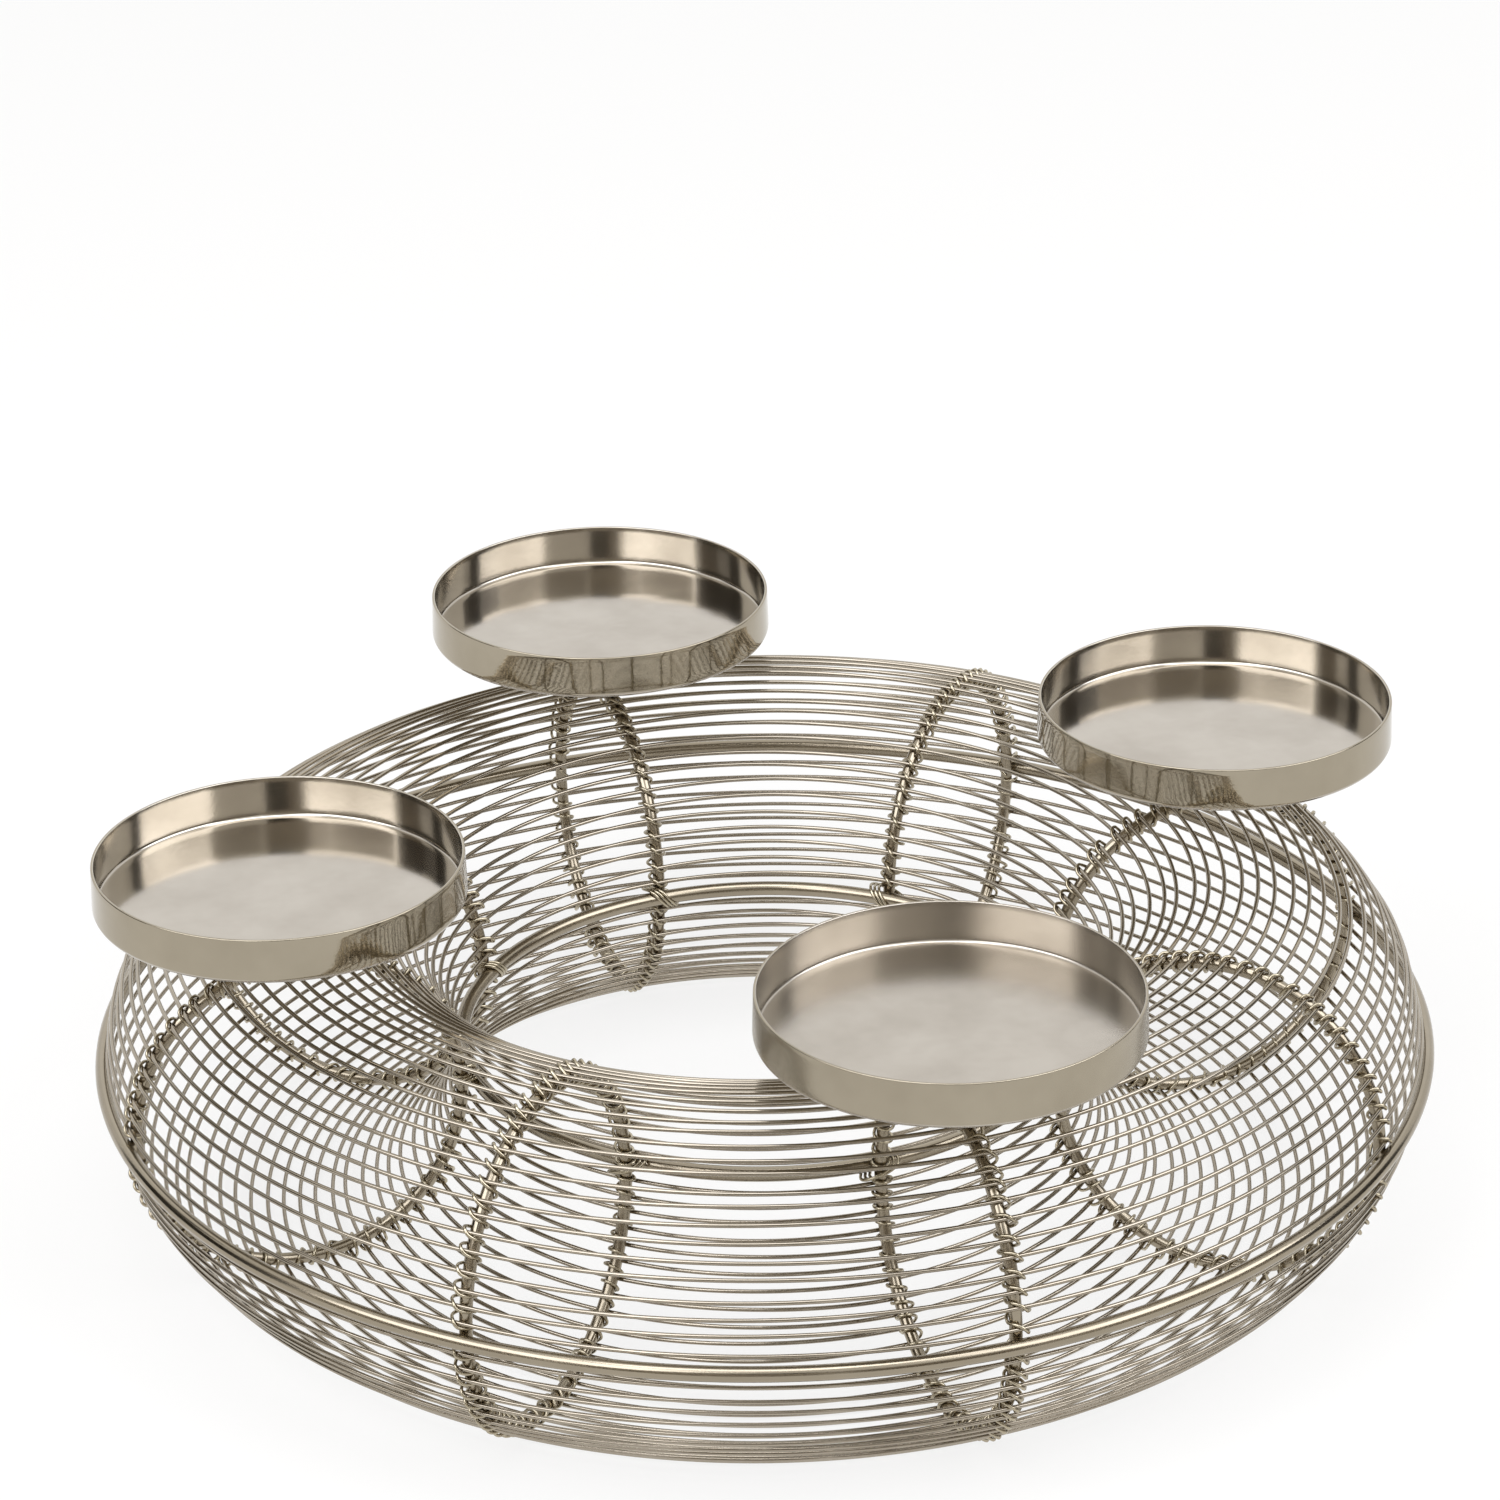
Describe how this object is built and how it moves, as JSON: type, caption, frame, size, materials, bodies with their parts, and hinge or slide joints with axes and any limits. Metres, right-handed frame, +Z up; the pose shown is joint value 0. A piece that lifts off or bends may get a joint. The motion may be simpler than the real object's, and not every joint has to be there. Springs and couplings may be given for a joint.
{
  "type": "advent candle holder",
  "caption": "Ring-shaped wire cage, lashed at upright rib rings, that carries shallow round candle dishes on short posts",
  "frame": {"origin": "on the surface that the cage stands on, at the middle of the ring", "axes": "+Z up along the ring's axis, -Y towards dish_front, +X towards dish_right"},
  "size_m": [0.4122, 0.4122, 0.1392],
  "materials": {
    "dish_plate": "polished nickel plate on pressed steel sheet",
    "cage_wire": "satin nickel plate on drawn steel wire",
    "binding_wire": "satin nickel plate on soft binding wire"
  },
  "bodies": {
    "root": {"dish_front": "dish_plate", "dish_right": "dish_plate", "dish_back": "dish_plate", "dish_left": "dish_plate", "post_front": "cage_wire", "post_right": "cage_wire", "post_back": "cage_wire", "post_left": "cage_wire", "rib_1": "cage_wire", "rib_2": "cage_wire", "rib_3": "cage_wire", "rib_4": "cage_wire", "rib_5": "cage_wire", "rib_6": "cage_wire", "rib_7": "cage_wire", "rib_8": "cage_wire", "outer_equator_hoop": "cage_wire", "inner_equator_hoop": "cage_wire", "hoop_pair_1": "cage_wire", "hoop_pair_2": "cage_wire", "hoop_pair_3": "cage_wire", "hoop_pair_4": "cage_wire", "hoop_pair_5": "cage_wire", "hoop_pair_6": "cage_wire", "hoop_pair_7": "cage_wire", "hoop_pair_8": "cage_wire", "hoop_pair_9": "cage_wire", "hoop_pair_10": "cage_wire", "hoop_pair_11": "cage_wire", "hoop_pair_12": "cage_wire", "hoop_pair_13": "cage_wire", "hoop_pair_14": "cage_wire", "hoop_pair_15": "cage_wire", "hoop_pair_16": "cage_wire", "hoop_pair_17": "cage_wire", "hoop_pair_18": "cage_wire", "hoop_pair_19": "cage_wire", "hoop_pair_20": "cage_wire", "hoop_pair_21": "cage_wire", "hoop_pair_22": "cage_wire", "hoop_pair_23": "cage_wire", "hoop_pair_24": "cage_wire", "hoop_pair_25": "cage_wire", "hoop_pair_26": "cage_wire", "hoop_pair_27": "cage_wire", "hoop_pair_28": "cage_wire", "hoop_pair_29": "cage_wire", "hoop_pair_30": "cage_wire", "hoop_pair_31": "cage_wire", "hoop_pair_32": "cage_wire", "lashing_1": "binding_wire", "lashing_2": "binding_wire", "lashing_3": "binding_wire", "lashing_4": "binding_wire", "lashing_5": "binding_wire", "lashing_6": "binding_wire", "lashing_7": "binding_wire", "lashing_8": "binding_wire"}
  },
  "joints": []
}
